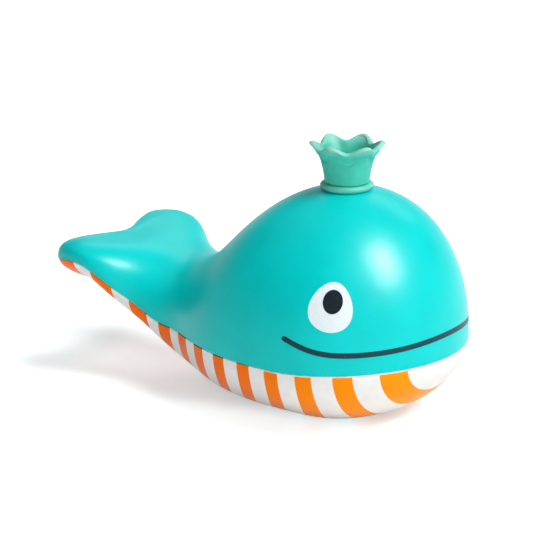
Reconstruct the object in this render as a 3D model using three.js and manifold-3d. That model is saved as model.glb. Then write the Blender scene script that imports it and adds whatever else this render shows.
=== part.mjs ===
// Bubble whale bath toy: two moulded shells that lap along the whale's widest line, a soft crown
// pushed into the head as its spout, and an air pipe from the water port in the belly to the crown.
// Millimetres. x runs forward to the nose, y to the whale's left, z up from the floor it stands on.
import * as THREE from "three";
import { mergeVertices } from "three/addons/utils/BufferGeometryUtils.js";
import Module from "manifold-3d";

const wasm = await Module();
wasm.setup();

// Plan of the body, seen from above
const bodyLength = 173;
const noseToSpout = 49.2;
const headWidth = 104.6;
const waistWidth = 56.2;
const tailToWaist = 44.7;
const flukeSpan = 76.5;
const tailToFluke = 16.5;
const flukeTipSpan = 62.4;
const notchDepth = 6.5;

// Heights of the body
const domeHeight = 92.1;
const saddleHeight = 51;
const tailToSaddle = 47.5;
const flukeTopHeight = 56.6;
const flukeUnderHeight = 34.9;
const seamHeight = 28.7;
const tailSeamHeight = 45.1;
const flukeSeamCurl = 6.4;
const waistToDish = 9;
const noseSeamLift = 1.3;
const tailToSeamRise = 52.7;
const tailToSeamTop = 11.5;
const bellyFlatDepth = 1.85;
const spoutToKeelRise = 19.6;
const flukeUnderSlope = 0.72;

// Fullness of the body's curves: 2 is an ellipse, more is squarer, from ahead of the waist back
const headFullness = 2.17;
const flukeFullness = 2.9;
const bellyFullness = 1.89;
const waistToSquare = 20;

// Share of each stretch that the curve's handles reach over
const noseReach = 0.545;
const shoulderReach = 0.62;
const waistReach = 0.31;
const flukeReach = 0.5;
const roundReach = 0.5523;
const domeReach = 0.52;
const saddleReach = 0.365;
const saddleRiseReach = 0.08;
const keelReach = 0.6;
const flukeUnderReach = 0.31;

// Shell walls and the lap joint along the seam
const wall = 2.2;
const lapHeight = 3.2;
const seamGap = 0.3;
const fitGap = 0.3;

// Crown spout, soft moulding
const crownPoints = 6;
const crownTurn = THREE.MathUtils.degToRad(35);
const flangeRadius = 10.8;
const flangeThickness = 2.1;
const cupFootRadius = 9;
const cupGroove = 0.6;
const cupWall = 1.9;
const crownTipRadius = 15.2;
const crownTipHeight = 18.7;
const crownDipRadius = 12.5;
const crownDipHeight = 16;
const cupFootLean = 0.25;
const cupFootRise = 0.33;
const cupFlareLean = 0.42;
const cupFlareRise = 0.68;
const neckRadius = 7.6;
const neckWall = 1.5;
const neckLength = 10;
const neckLeadIn = 0.4;

// Bubble screen in the floor of the crown
const screenRadius = 7;
const screenThickness = 1.6;
const screenLedgeHeight = 0.9;
const screenHoleRadius = 0.8;
const screenHolePitch = 2.5;
const screenRings = 2;
const holesPerRing = 6;

// Seat of the crown on the head
const seatPadRise = 0.4;
const seatPadRadius = 9.4;

// Air pipe, its spigots and flat seals
const pipeBore = 7.6;
const pipeWall = 1.8;
const collarWall = 1.8;
const collarLength = 8;
const bossDepth = 5;
const spigotHeight = 8;
const sealPadHeight = 1.2;
const sealThickness = 2;

// Facets
const turnedSides = 40;
const crownSides = 48;
const noseFacets = 9;
const flankFacets = 11;
const stemFacets = 7;
const tipFacets = 4;
const notchFacets = 6;
const holeFacets = 16;
const beadFacets = 4;
const rimFacets = 3;
const domeRows = 9;
const cupRows = 8;
const bellyRows = 5;
const flatRows = 2;

// Stations along the body
const noseX = bodyLength / 2;
const tailX = -bodyLength / 2;
const spoutX = noseX - noseToSpout;
const waistX = tailX + tailToWaist;
const flukeX = tailX + tailToFluke;
const saddleX = tailX + tailToSaddle;
const seamRiseX = tailX + tailToSeamRise;
const seamTopX = tailX + tailToSeamTop;
const keelRiseX = spoutX - spoutToKeelRise;
const squareX = waistX + waistToSquare;
const dishX = waistX + waistToDish;

const point = (x, y) => new THREE.Vector2(x, y);
const quarterTurn = Math.PI / 2;
const halvings = 40;
const weldDistance = 1e-4;
const leastFlatAngle = THREE.MathUtils.degToRad(10);
const smooth = (share) => THREE.MathUtils.smoothstep(share, 0, 1);

// Half of the widest line from the nose to the notch between the flukes: five curves and their facets.
function halfOutline() {
  const nose = point(noseX, 0);
  const head = point(spoutX, headWidth / 2);
  const waist = point(waistX, waistWidth / 2);
  const fluke = point(flukeX, flukeSpan / 2);
  const tip = point(tailX, flukeTipSpan / 2);
  const notch = point(tailX + notchDepth, 0);
  const flank = spoutX - waistX;
  const stem = waistX - flukeX;
  const bend = (facets, ...points) => ({ facets, curve: new THREE.CubicBezierCurve(...points) });
  return [
    bend(
      noseFacets, nose, point(noseX, noseReach * head.y),
      point(spoutX + noseReach * noseToSpout, head.y), head,
    ),
    bend(
      flankFacets, head, point(spoutX - shoulderReach * flank, head.y),
      point(waistX + waistReach * flank, waist.y), waist,
    ),
    bend(
      stemFacets, waist, point(waistX - flukeReach * stem, waist.y),
      point(flukeX + flukeReach * stem, fluke.y), fluke,
    ),
    bend(
      tipFacets, fluke, point(flukeX - roundReach * tailToFluke, fluke.y),
      point(tailX, tip.y + roundReach * (fluke.y - tip.y)), tip,
    ),
    bend(
      notchFacets, tip, point(tailX, tip.y * (1 - flukeReach)),
      point(notch.x, tip.y * flukeReach), notch,
    ),
  ];
}

// The whole widest line as a closed loop: down the right side to the notch and back up the left.
function outlineLoop() {
  const half = [];
  for (const { curve, facets } of halfOutline()) {
    half.push(...curve.getPoints(facets).slice(0, -1));
  }
  const notch = point(tailX + notchDepth, 0);
  const right = half.map((p) => point(p.x, -p.y));
  const left = half.slice(1).reverse();
  return [...right, notch, ...left];
}

// Height of a curve that runs backwards along the body, at the station x.
function heightOn(curve, x) {
  let low = 0;
  let high = 1;
  for (let step = 0; step < halvings; step++) {
    const middle = (low + high) / 2;
    if (curve.getPoint(middle).x > x) low = middle;
    else high = middle;
  }
  return curve.getPoint((low + high) / 2).y;
}

const backLength = spoutX - saddleX;
const backCurve = new THREE.CubicBezierCurve(
  point(spoutX, domeHeight),
  point(spoutX - domeReach * backLength, domeHeight),
  point(saddleX + saddleReach * backLength, saddleHeight),
  point(saddleX, saddleHeight),
);
const flukeRun = saddleX - flukeX;
const flukeTopCurve = new THREE.CubicBezierCurve(
  point(saddleX, saddleHeight),
  point(saddleX - saddleRiseReach * flukeRun, saddleHeight),
  point(flukeX + flukeReach * flukeRun, flukeTopHeight),
  point(flukeX, flukeTopHeight),
);
const keelRun = keelRiseX - flukeX;
const keelCurve = new THREE.CubicBezierCurve(
  point(keelRiseX, -bellyFlatDepth),
  point(keelRiseX - keelReach * keelRun, -bellyFlatDepth),
  point(flukeX + flukeUnderReach * keelRun, flukeUnderHeight - flukeUnderReach * keelRun * flukeUnderSlope),
  point(flukeX, flukeUnderHeight),
);

const backHeight = (x) => heightOn(x > saddleX ? backCurve : flukeTopCurve, x);
const keelHeight = (x) => (x > keelRiseX ? -bellyFlatDepth : heightOn(keelCurve, x));

// Height of the widest line's sheet: level round the head, rising and dished at the flukes.
function seamAt(x, y) {
  const rise = smooth((seamRiseX - x) / (seamRiseX - seamTopX));
  const dish = smooth((dishX - x) / (dishX - flukeX));
  const lift = smooth((x - spoutX) / noseToSpout);
  const curl = flukeSeamCurl * (2 * y / flukeSpan) ** 2 * dish;
  return seamHeight + (tailSeamHeight - seamHeight) * rise + curl + noseSeamLift * lift;
}

// Angle from the keel at which a rib's height comes up through the floor.
function flatEdge(heightAt) {
  let low = 0;
  let high = quarterTurn;
  for (let step = 0; step < halvings; step++) {
    const middle = (low + high) / 2;
    if (heightAt(middle) < 0) low = middle;
    else high = middle;
  }
  return high;
}

// One rib of the body from the crest over the widest line at foot down to the keel. Every rib starts
// on the spine under the spout or the back, so ribs meet their mirror image there.
function ribAt(foot) {
  const spineX = THREE.MathUtils.clamp(foot.x, flukeX, spoutX);
  const middle = seamAt(spineX, 0);
  const rise = backHeight(spineX) - middle;
  const drop = middle - keelHeight(spineX);
  const tailShare = smooth((squareX - spineX) / (squareX - flukeX));
  const topFullness = headFullness + (flukeFullness - headFullness) * tailShare;
  const at = (angle, fullness, height) => {
    const out = Math.sin(angle) ** (2 / fullness);
    const up = Math.max(Math.cos(angle), 0) ** (2 / fullness);
    const x = spineX + (foot.x - spineX) * out;
    const y = foot.y * out;
    return new THREE.Vector3(x, y, seamAt(x, y) + height * up);
  };
  const lapAngle = Math.acos((lapHeight / rise) ** (topFullness / 2));
  const flatAngle = Math.max(flatEdge((angle) => at(angle, bellyFullness, -drop).z), leastFlatAngle);
  const rib = [];
  for (let row = 0; row <= domeRows; row++) {
    rib.push(at((lapAngle * row) / domeRows, topFullness, rise));
  }
  for (let row = 0; row <= bellyRows; row++) {
    rib.push(at(quarterTurn + ((flatAngle - quarterTurn) * row) / bellyRows, bellyFullness, -drop));
  }
  for (let row = 1; row <= flatRows; row++) {
    rib.push(at(flatAngle * (1 - row / flatRows), bellyFullness, -drop));
  }
  for (const p of rib) p.z = Math.max(p.z, 0);
  return rib;
}

// Triangles between neighbouring columns of points that go round in a loop.
function stitch(columns, closedColumns) {
  const corners = [];
  const rows = columns[0].length;
  const lastRow = closedColumns ? rows : rows - 1;
  columns.forEach((here, i) => {
    const next = columns[(i + 1) % columns.length];
    for (let row = 0; row < lastRow; row++) {
      const a = here[row];
      const b = next[row];
      const c = next[(row + 1) % rows];
      const d = here[(row + 1) % rows];
      if (a.distanceTo(c) <= b.distanceTo(d)) corners.push(a, b, c, a, c, d);
      else corners.push(a, b, d, b, c, d);
    }
  });
  return new THREE.BufferGeometry().setFromPoints(corners);
}

// Shared corners merged and the empty triangles at poles dropped.
function welded(geometry) {
  geometry.deleteAttribute("normal");
  geometry.deleteAttribute("uv");
  const merged = mergeVertices(geometry, weldDistance);
  const kept = [];
  const index = merged.index.array;
  for (let i = 0; i < index.length; i += 3) {
    const [a, b, c] = index.subarray(i, i + 3);
    if (a !== b && b !== c && c !== a) kept.push(a, b, c);
  }
  return merged.setIndex(kept);
}

function solid(geometry) {
  const merged = welded(geometry);
  const triVerts = new Uint32Array(merged.index.array);
  const vertProperties = merged.attributes.position.array;
  return new wasm.Manifold(new wasm.Mesh({ numProp: 3, vertProperties, triVerts }));
}

function geometryOf(made) {
  const mesh = made.getMesh();
  const geometry = new THREE.BufferGeometry();
  geometry.setAttribute("position", new THREE.BufferAttribute(mesh.vertProperties, 3));
  geometry.setIndex(new THREE.BufferAttribute(mesh.triVerts, 1));
  geometry.computeVertexNormals();
  return geometry;
}

// A turned piece about the vertical through the spout: radius and height pairs, anticlockwise.
function turned(profile, x) {
  const points = profile.map(([radius, height]) => point(radius, height));
  const geometry = new THREE.LatheGeometry(points, turnedSides);
  return geometry.rotateX(Math.PI / 2).translate(x, 0, 0);
}

const ring = (inner, outer, low, high) => [
  [inner, low], [outer, low], [outer, high], [inner, high], [inner, low],
];
const plug = (radius, low, high) => [[0, low], [radius, low], [radius, high], [0, high]];

const ribs = outlineLoop().map(ribAt);
const lapRow = domeRows;
const seamRow = domeRows + 1;

// Outward directions at the ribs' points, averaged over the faces that meet there.
function outwardDirections() {
  const sums = new Map();
  const keyOf = (p) => `${p.x.toFixed(3)} ${p.y.toFixed(3)} ${p.z.toFixed(3)}`;
  const corner = stitch(ribs, false).getAttribute("position");
  const [a, b, c] = [new THREE.Vector3(), new THREE.Vector3(), new THREE.Vector3()];
  for (let i = 0; i < corner.count; i += 3) {
    a.fromBufferAttribute(corner, i);
    b.fromBufferAttribute(corner, i + 1);
    c.fromBufferAttribute(corner, i + 2);
    const face = b.clone().sub(a).cross(c.clone().sub(a));
    for (const p of [a, b, c]) {
      const key = keyOf(p);
      if (!sums.has(key)) sums.set(key, new THREE.Vector3());
      sums.get(key).add(face);
    }
  }
  const rounded = new THREE.Vector3();
  const directionAt = (p) => sums.get(keyOf(rounded.fromArray(new Float32Array(p.toArray()))));
  return ribs.map((rib) => rib.map((p) => directionAt(p).clone().normalize()));
}
const outward = outwardDirections();

// A point of rib i under the skin, and one beside the seam: above it towards the lap, or below it.
const under = (i, row, depth) => ribs[i][row].clone().addScaledVector(outward[i][row], -depth);
function besideSeam(i, height, depth) {
  const otherRow = height > 0 ? lapRow : seamRow + 1;
  const span = Math.abs(ribs[i][otherRow].z - ribs[i][seamRow].z);
  return under(i, seamRow, depth).lerp(under(i, otherRow, depth), Math.abs(height) / span);
}
const lip = (wall - fitGap) / 2;
const floorPoint = (p) => p.setZ(Math.max(p.z, wall));

// Upper shell: skin, thin lip down to the seam, recess for the tongue, then the inner face.
function upperColumn(rib, i) {
  const column = [];
  for (let row = 0; row <= lapRow; row++) column.push(rib[row].clone());
  column.push(besideSeam(i, seamGap / 2, 0), besideSeam(i, seamGap / 2, lip));
  column.push(under(i, lapRow, lip));
  for (let row = lapRow; row >= 0; row--) column.push(under(i, row, wall));
  return column;
}

// Belly shell: inner face, tongue that laps inside the upper shell, then the skin down to the keel.
function bellyColumn(rib, i) {
  const column = [];
  for (let row = rib.length - 1; row > seamRow; row--) column.push(floorPoint(under(i, row, wall)));
  column.push(under(i, seamRow, wall));
  column.push(besideSeam(i, lapHeight - seamGap, wall), besideSeam(i, lapHeight - seamGap, lip + fitGap));
  column.push(besideSeam(i, -seamGap / 2, lip + fitGap), besideSeam(i, -seamGap / 2, 0));
  for (let row = seamRow + 1; row < rib.length; row++) column.push(rib[row].clone());
  return column;
}

// Lowest height of the dome's skin on a circle round the spout.
function domeLevel(radius) {
  const back = backHeight(spoutX - radius);
  const reach = Math.min(noseToSpout, headWidth / 2);
  const share = (1 - (radius / reach) ** headFullness) ** (1 / headFullness);
  return Math.min(back, seamHeight + (domeHeight - seamHeight) * share);
}

// The spout sits on a low flat pad, so that the flange's edge stands a little clear of the dome.
const seatZ = domeHeight + seatPadRise;
const boreRadius = neckRadius + fitGap;
const collarRadius = boreRadius + collarWall;
const bellBore = collarRadius + fitGap;
const bellRadius = bellBore + pipeWall;
const bossZ = seatZ - bossDepth;
const collarEndZ = bossZ - collarLength;
const padZ = wall + sealPadHeight;
const spigotTopZ = padZ + spigotHeight;
const pipeTopZ = bossZ - sealThickness;
const pipeBaseZ = padZ + sealThickness;

// The collar and the spigot start inside the bore, which is then cut through them and the shell.
function upperShell() {
  const shell = solid(stitch(ribs.map(upperColumn), false));
  const insideSkin = domeLevel(bellRadius) - wall / 2;
  const collar = solid(turned([
    [boreRadius / 2, collarEndZ], [collarRadius, collarEndZ], [collarRadius, bossZ], [bellRadius, bossZ],
    [bellRadius, insideSkin], [seatPadRadius, insideSkin], [seatPadRadius, seatZ], [boreRadius / 2, seatZ],
    [boreRadius / 2, collarEndZ],
  ], spoutX));
  const bore = solid(turned(plug(boreRadius, collarEndZ - wall, seatZ + wall), spoutX));
  return geometryOf(shell.add(collar).subtract(bore));
}

function bellyShell() {
  const shell = solid(stitch(ribs.map(bellyColumn), false));
  const spigot = solid(turned([
    [pipeBore / 2, wall / 2], [bellRadius + sealPadHeight, wall / 2], [bellRadius, padZ],
    [collarRadius, padZ], [collarRadius, spigotTopZ], [pipeBore / 2, spigotTopZ], [pipeBore / 2, wall / 2],
  ], spoutX));
  const port = solid(turned(plug(pipeBore, -wall, spigotTopZ + wall), spoutX));
  return geometryOf(shell.add(spigot).subtract(port));
}

// Air pipe: a straight tube with a bell at each end that fits over the collar and the spigot.
function airPipe() {
  const tube = pipeBore + pipeWall;
  const upperShoulder = collarEndZ - fitGap;
  const lowerShoulder = spigotTopZ + fitGap;
  return geometryOf(solid(turned([
    [bellBore, pipeBaseZ], [bellRadius, pipeBaseZ], [bellRadius, lowerShoulder],
    [tube, lowerShoulder + pipeWall], [tube, upperShoulder - pipeWall], [bellRadius, upperShoulder],
    [bellRadius, pipeTopZ], [bellBore, pipeTopZ], [bellBore, upperShoulder], [pipeBore, upperShoulder],
    [pipeBore, lowerShoulder], [bellBore, lowerShoulder], [bellBore, pipeBaseZ],
  ], spoutX)));
}

const flatSeal = (low, high) => geometryOf(solid(turned(ring(bellBore, bellRadius, low, high), spoutX)));

// Crown: a cup whose wall flares into points, over a round flange and a plug neck. Heights from the seat.
function crownColumn(turn) {
  const column = [];
  const add = (radius, height) =>
    column.push(new THREE.Vector3(radius * Math.cos(turn), radius * Math.sin(turn), height));
  const wave = (1 + Math.cos(crownPoints * (turn - crownTurn))) / 2;
  const rimRadius = THREE.MathUtils.lerp(crownDipRadius, crownTipRadius, wave);
  const rimHeight = THREE.MathUtils.lerp(crownDipHeight, crownTipHeight, wave);
  const footHeight = flangeThickness + cupGroove;
  const rise = rimHeight - footHeight;
  const lean = crownDipRadius - cupFootRadius;
  const cup = new THREE.CubicBezierCurve(
    point(cupFootRadius, footHeight),
    point(cupFootRadius + lean * cupFootLean, footHeight + rise * cupFootRise),
    point(cupFootRadius + lean * cupFlareLean, footHeight + rise * cupFlareRise),
    point(rimRadius, rimHeight - cupWall / 2),
  );
  const cupPoints = cup.getPoints(cupRows);
  const rim = cupPoints.at(-1);
  const boreOfNeck = neckRadius - neckWall;
  const pocket = screenRadius + fitGap;
  const bead = flangeThickness / 2;
  add(boreOfNeck, -neckLength);
  add(neckRadius - neckLeadIn, -neckLength);
  add(neckRadius, -neckLength + neckLeadIn);
  add(neckRadius, 0);
  for (let step = 0; step <= beadFacets; step++) {
    const angle = (step / beadFacets - 0.5) * Math.PI;
    add(flangeRadius - bead + bead * Math.cos(angle), bead + bead * Math.sin(angle));
  }
  add(cupFootRadius - cupGroove, flangeThickness);
  for (const p of cupPoints) add(p.x, p.y);
  for (let step = 1; step < rimFacets; step++) {
    const angle = (step / rimFacets) * Math.PI;
    add(rim.x - (cupWall / 2) * (1 - Math.cos(angle)), rim.y + (cupWall / 2) * Math.sin(angle));
  }
  for (const p of cupPoints.slice(1).reverse()) add(p.x - cupWall, p.y);
  add(pocket, footHeight);
  add(pocket, screenLedgeHeight);
  add(boreOfNeck, screenLedgeHeight);
  return column;
}

function crown() {
  const columns = [];
  for (let side = 0; side < crownSides; side++) {
    columns.push(crownColumn((2 * Math.PI * side) / crownSides));
  }
  return geometryOf(solid(stitch(columns, true)));
}

// Screen: a flat disc with rings of round holes.
function bubbleScreen() {
  const disc = new THREE.Shape().absarc(0, 0, screenRadius, 0, 2 * Math.PI);
  for (let ringNumber = 0; ringNumber <= screenRings; ringNumber++) {
    const holes = Math.max(1, holesPerRing * ringNumber);
    for (let hole = 0; hole < holes; hole++) {
      const angle = (2 * Math.PI * hole) / holes;
      const x = ringNumber * screenHolePitch * Math.cos(angle);
      const y = ringNumber * screenHolePitch * Math.sin(angle);
      disc.holes.push(new THREE.Path().absarc(x, y, screenHoleRadius, 0, 2 * Math.PI));
    }
  }
  const settings = { depth: screenThickness, bevelEnabled: false, curveSegments: holeFacets / 2 };
  return geometryOf(solid(new THREE.ExtrudeGeometry(disc, settings)));
}

function piece(name, geometry, colour, roughness) {
  const material = new THREE.MeshStandardMaterial({ color: colour, roughness, metalness: 0 });
  const mesh = new THREE.Mesh(geometry, material);
  mesh.name = name;
  return mesh;
}

const whale = new THREE.Group();
whale.add(
  piece("upper_shell", upperShell(), 0x02c9c6, 0.38),
  piece("belly_shell", bellyShell(), 0xf6f3ee, 0.38),
  piece("air_pipe", airPipe(), 0xe8ecec, 0.45),
  piece("pipe_top_seal", flatSeal(pipeTopZ, bossZ), 0x3a4042, 0.8),
  piece("pipe_base_seal", flatSeal(padZ, pipeBaseZ), 0x3a4042, 0.8),
);

const spout = new THREE.Group();
spout.position.set(spoutX, 0, seatZ);
const screen = piece("bubble_screen", bubbleScreen(), 0xdfe9e6, 0.5);
screen.position.z = screenLedgeHeight;
spout.add(piece("crown_spout", crown(), 0x26b8a3, 0.6), screen);
whale.add(spout);

export default whale;
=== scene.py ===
import math

import bmesh
import bpy
import numpy as np
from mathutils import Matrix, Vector
from mathutils.bvhtree import BVHTree
from mathutils.interpolate import poly_3d_calc


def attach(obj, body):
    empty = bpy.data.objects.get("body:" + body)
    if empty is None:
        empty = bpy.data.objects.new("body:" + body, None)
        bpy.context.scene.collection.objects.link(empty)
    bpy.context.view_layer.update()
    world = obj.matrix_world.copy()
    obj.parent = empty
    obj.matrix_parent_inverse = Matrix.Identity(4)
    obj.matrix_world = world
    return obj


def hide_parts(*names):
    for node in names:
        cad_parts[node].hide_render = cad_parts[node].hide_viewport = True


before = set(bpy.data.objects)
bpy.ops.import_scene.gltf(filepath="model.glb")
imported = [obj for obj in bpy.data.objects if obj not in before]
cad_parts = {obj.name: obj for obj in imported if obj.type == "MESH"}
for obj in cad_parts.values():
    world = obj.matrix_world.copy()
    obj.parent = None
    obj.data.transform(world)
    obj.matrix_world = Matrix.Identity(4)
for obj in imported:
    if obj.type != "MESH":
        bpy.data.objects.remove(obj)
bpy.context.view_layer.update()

# BELLY SHELL
# The white lower half of the whale is one thin-walled satin moulding with a flat base. Its tongue laps
# inside the upper shell, its port has a spigot for the air pipe, and twelve stripes are printed on it.
MM = 0.001

body_length = 173.0
nose_to_spout = 49.2
tail_to_waist = 44.7
tail_to_saddle = 47.5
tail_to_fluke = 16.5
spout_to_keel_rise = 19.6
notch_depth = 6.5
head_width = 104.6
waist_width = 56.2
fluke_span = 76.5
fluke_tip_span = 62.4
nose_x = body_length / 2
tail_x = -body_length / 2
spout_x = nose_x - nose_to_spout
waist_x = tail_x + tail_to_waist
fluke_x = tail_x + tail_to_fluke
saddle_x = tail_x + tail_to_saddle
keel_rise_x = spout_x - spout_to_keel_rise

# Leads are shares of a bend's run, and each pair is for its start and its end.
nose_round = 0.545
flank_leads = 0.62, 0.31
stem_lead = 0.5
tip_round = 0.5523
notch_lead = 0.5
outline_steps = 40, 48, 30, 20, 26

dome_height = 92.1
saddle_height = 51.0
fluke_top_height = 56.6
fluke_under_height = 34.9
flat_depth = 1.85
flat_edge = 0.8
back_leads = 0.52, 0.365
fluke_leads = 0.08, 0.5
keel_leads = 0.6, 0.31
keel_end_slope = 0.72
line_steps = 400

seam_height = 28.7
tail_seam_height = 45.1
seam_rise_from, seam_rise_to = 52.7, 11.5
dish_from_waist = 9.0
fluke_curl = 6.4
nose_lift = 1.3

head_fullness = 2.17
fluke_fullness = 2.9
belly_fullness = 1.89
fuller_from_waist = 20.0
dome_rows, lip_rows, belly_rows = 48, 7, 40
inside_stride = 4

easing_rounds = 14
easing_behind_spout, easing_run = 45.0, 20.0
easing_margin = 0.3

wall = 2.2
lap_height = 3.2
lap_clearance = 0.3
seam_gap = 0.1
seam_edge = 0.2
weld_reach, least_edge = 0.002, 0.001


def smooth(share):
    share = np.clip(share, 0, 1)
    return share * share * (3 - 2 * share)


def bend(start, lead_out, lead_in, end, steps):
    """Points on a curve from start to end that leaves and arrives along its two leads."""
    t = np.linspace(0, 1, steps + 1)[:, None]
    weights = np.hstack([(1 - t) ** 3, 3 * (1 - t) ** 2 * t, 3 * (1 - t) * t**2, t**3])
    return weights @ np.array([start, lead_out, lead_in, end], float)


def widest_line():
    """The whale's widest line in plan: down the right side to the notch in the tail, up the left."""
    head_y, waist_y = head_width / 2, waist_width / 2
    fluke_y, tip_y = fluke_span / 2, fluke_tip_span / 2
    notch_x = tail_x + notch_depth
    flank, stem = spout_x - waist_x, waist_x - fluke_x
    corners = [
        ((nose_x, 0), (nose_x, nose_round * head_y),
         (spout_x + nose_round * nose_to_spout, head_y), (spout_x, head_y)),
        ((spout_x, head_y), (spout_x - flank_leads[0] * flank, head_y),
         (waist_x + flank_leads[1] * flank, waist_y), (waist_x, waist_y)),
        ((waist_x, waist_y), (waist_x - stem_lead * stem, waist_y),
         (fluke_x + stem_lead * stem, fluke_y), (fluke_x, fluke_y)),
        ((fluke_x, fluke_y), (fluke_x - tip_round * tail_to_fluke, fluke_y),
         (tail_x, tip_y + tip_round * (fluke_y - tip_y)), (tail_x, tip_y)),
        ((tail_x, tip_y), (tail_x, notch_lead * tip_y), (notch_x, notch_lead * tip_y), (notch_x, 0)),
    ]
    bends = [bend(*four, steps)[:-1] for four, steps in zip(corners, outline_steps)]
    half = np.vstack(bends + [[(notch_x, 0)]])
    return np.vstack([half * (1, -1), half[1:-1][::-1]])


back_run = spout_x - saddle_x
back_line = bend(
    (spout_x, dome_height), (spout_x - back_leads[0] * back_run, dome_height),
    (saddle_x + back_leads[1] * back_run, saddle_height), (saddle_x, saddle_height), line_steps)
fluke_run = saddle_x - fluke_x
fluke_line = bend(
    (saddle_x, saddle_height), (saddle_x - fluke_leads[0] * fluke_run, saddle_height),
    (fluke_x + fluke_leads[1] * fluke_run, fluke_top_height), (fluke_x, fluke_top_height), line_steps)
crest_line = np.vstack([back_line, fluke_line[1:]])
keel_run = keel_rise_x - fluke_x
keel_line = bend(
    (keel_rise_x, -flat_depth), (keel_rise_x - keel_leads[0] * keel_run, -flat_depth),
    (fluke_x + keel_leads[1] * keel_run, fluke_under_height - keel_leads[1] * keel_run * keel_end_slope),
    (fluke_x, fluke_under_height), line_steps)


def height_on(line, x):
    return np.interp(-x, -line[:, 0], line[:, 1])


def seam_at(x, y):
    """Height of the seam's sheet: level round the head, rising and dished at the flukes."""
    rise = smooth((tail_x + seam_rise_from - x) / (seam_rise_from - seam_rise_to))
    dish = smooth((waist_x + dish_from_waist - x) / (waist_x + dish_from_waist - fluke_x))
    lift = smooth((x - spout_x) / nose_to_spout)
    curl = fluke_curl * (2 * y / fluke_span) ** 2 * dish
    return seam_height + (tail_seam_height - seam_height) * rise + curl + nose_lift * lift


def over_foot(foot, spine_x, angle, height, fullness):
    """Points over the widest line's feet: angle 0 is on the spine, a quarter turn at the seam."""
    out = np.sin(angle) ** (2 / fullness)
    up = np.clip(np.cos(angle), 0, 1) ** (2 / fullness)
    x = spine_x + (foot[:, :1] - spine_x) * out
    y = foot[:, 1:] * out
    return np.stack([x, y, seam_at(x, y) + height * up], axis=-1)


def angle_at(height, whole, fullness):
    """The angle at which a rib of that whole height is at the height."""
    return np.arccos((height / whole) ** (fullness / 2))


def eased(rows, share):
    """The rows of points with the kinks between neighbouring ribs of the tail worn smooth."""
    for _ in range(easing_rounds):
        level = (np.roll(rows, 1, axis=0) + np.roll(rows, -1, axis=0)) / 2 - rows
        tail = smooth((spout_x - easing_behind_spout - rows[..., :1]) / easing_run)
        rows = rows + level * tail * share[:, None] / 2
    return rows


def ribs():
    """All ribs from the crest over the lap and the seam to the keel, and the lap's and seam's rows."""
    foot = widest_line()
    spine_x = np.clip(foot[:, :1], fluke_x, spout_x)
    middle = seam_at(spine_x, 0)
    rise = height_on(crest_line, spine_x) - middle
    drop = middle - height_on(keel_line, spine_x)
    fuller_from = waist_x + fuller_from_waist
    tail_share = smooth((fuller_from - spine_x) / (fuller_from - fluke_x))
    fullness = head_fullness + (fluke_fullness - head_fullness) * tail_share
    lap = angle_at(lap_height, rise, fullness)
    edge = angle_at(seam_edge, rise, fullness)
    under_edge = angle_at(seam_edge, drop, belly_fullness)
    down_lip = np.linspace(0, 1, lip_rows + 1)[1:]
    dome = over_foot(foot, spine_x, lap * np.linspace(0, 1, dome_rows + 1), rise, fullness)
    lip = over_foot(foot, spine_x, lap + (edge - lap) * down_lip, rise, fullness)
    seam = over_foot(foot, spine_x, np.full_like(lap, math.pi / 2), rise, fullness)
    belly = over_foot(foot, spine_x, under_edge * np.linspace(1, 0, belly_rows + 1), -drop, belly_fullness)
    dome = eased(dome, 1 - smooth(np.linspace(-easing_margin, 1, dome_rows + 1)))
    belly = eased(belly, smooth(np.linspace(0, 1 + easing_margin, belly_rows + 1)))
    low = np.clip(belly[..., 2] + flat_edge, 0, 2 * flat_edge) ** 2 / (4 * flat_edge)
    belly[..., 2] = np.maximum(low, belly[..., 2])
    return np.concatenate([dome, lip, seam, belly], axis=1), dome_rows, dome_rows + lip_rows + 1


def outward_of(points):
    """Outward directions at the ribs' points, shared where ribs meet."""
    after = np.roll(points, -1, axis=0)
    faces = np.cross(after[:, 1:] - points[:, :-1], points[:, 1:] - after[:, :-1])
    sums = np.zeros_like(points)
    for at_rib, at_row in ((0, 0), (0, 1), (1, 0), (1, 1)):
        sums[:, at_row : at_row + faces.shape[1]] += np.roll(faces, at_rib, axis=0)
    flat = points.reshape(-1, 3)
    _, which = np.unique(np.round(flat, 4), axis=0, return_inverse=True)
    which = which.reshape(-1)
    shared = np.zeros((which.max() + 1, 3))
    np.add.at(shared, which, sums.reshape(-1, 3))
    shared /= np.linalg.norm(shared, axis=1, keepdims=True)
    return shared[which].reshape(points.shape)


def placed(name, data):
    """A new object for the mesh, lamp or camera, in the scene."""
    made = bpy.data.objects.new(name, data)
    bpy.context.scene.collection.objects.link(made)
    return made


def cleaned(mesh):
    """Welds the mesh's doubled points, and splits its many-sided faces so that none is without area."""
    shaped = bmesh.new()
    shaped.from_mesh(mesh)
    bmesh.ops.remove_doubles(shaped, verts=shaped.verts, dist=weld_reach * MM)
    bmesh.ops.dissolve_degenerate(shaped, edges=shaped.edges, dist=least_edge * MM)
    many_sided = [face for face in shaped.faces if len(face.verts) > 4]
    bmesh.ops.triangulate(shaped, faces=many_sided, quad_method="BEAUTY", ngon_method="BEAUTY")
    shaped.to_mesh(mesh)
    shaped.free()


def stitched(name, columns, closed):
    """A mesh object over neighbouring columns of points in millimetres that go round in a loop."""
    count, rows, _ = columns.shape
    rib, row = np.meshgrid(np.arange(count), np.arange(rows if closed else rows - 1), indexing="ij")
    after, below = (rib + 1) % count, (row + 1) % rows
    quads = np.stack([rib * rows + row, after * rows + row, after * rows + below, rib * rows + below], -1)
    mesh = bpy.data.meshes.new(name)
    mesh.from_pydata((columns.reshape(-1, 3) * MM).tolist(), [], quads.reshape(-1, 4).tolist())
    cleaned(mesh)
    return placed(name, mesh)


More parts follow.
